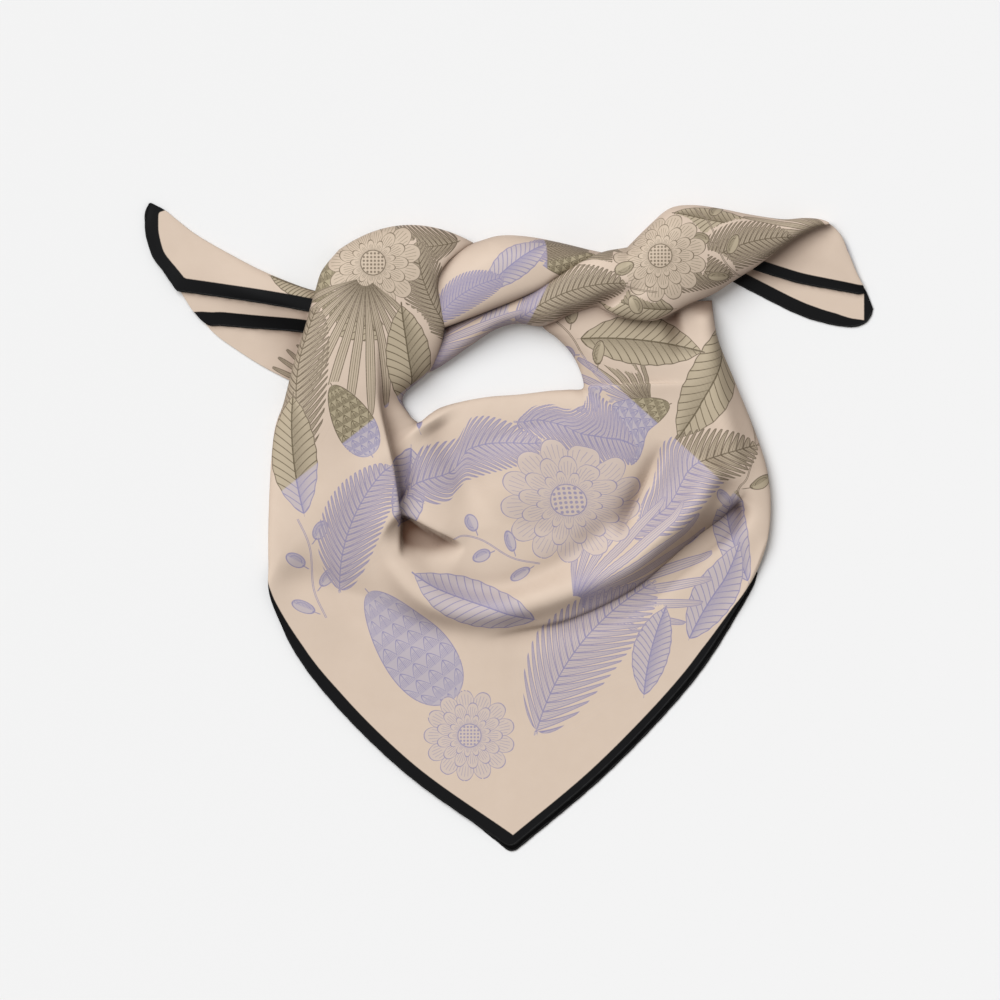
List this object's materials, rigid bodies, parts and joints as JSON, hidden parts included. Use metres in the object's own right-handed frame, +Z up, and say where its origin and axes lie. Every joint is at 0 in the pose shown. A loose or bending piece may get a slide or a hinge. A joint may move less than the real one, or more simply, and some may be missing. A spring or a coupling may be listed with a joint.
{
  "type": "tied silk square scarf laid flat",
  "caption": "Printed silk square folded on its diagonal, tied in a half knot and laid flat, with a hanging bib, a neck opening and two loose tails.",
  "frame": {"origin": "on the table, under the middle of the scarf's bounding box", "axes": "+X towards the right tail, +Y from the tip of the bib towards the knot, +Z up from the table"},
  "size_m": [0.6181, 0.551, 0.0422],
  "materials": {
    "silk_twill": "soft satin sheen"
  },
  "bodies": {
    "root": {"left_arm": "silk_twill", "right_arm": "silk_twill", "bib_front": "silk_twill", "bib_back": "silk_twill", "knot_bulge": "silk_twill", "knot_strand": "silk_twill", "band": "silk_twill", "right_tail_flap": "silk_twill", "right_tail_inner": "silk_twill", "right_tail_outer": "silk_twill", "left_tail_top": "silk_twill", "left_tail_middle": "silk_twill", "left_tail_lower": "silk_twill"}
  },
  "joints": []
}
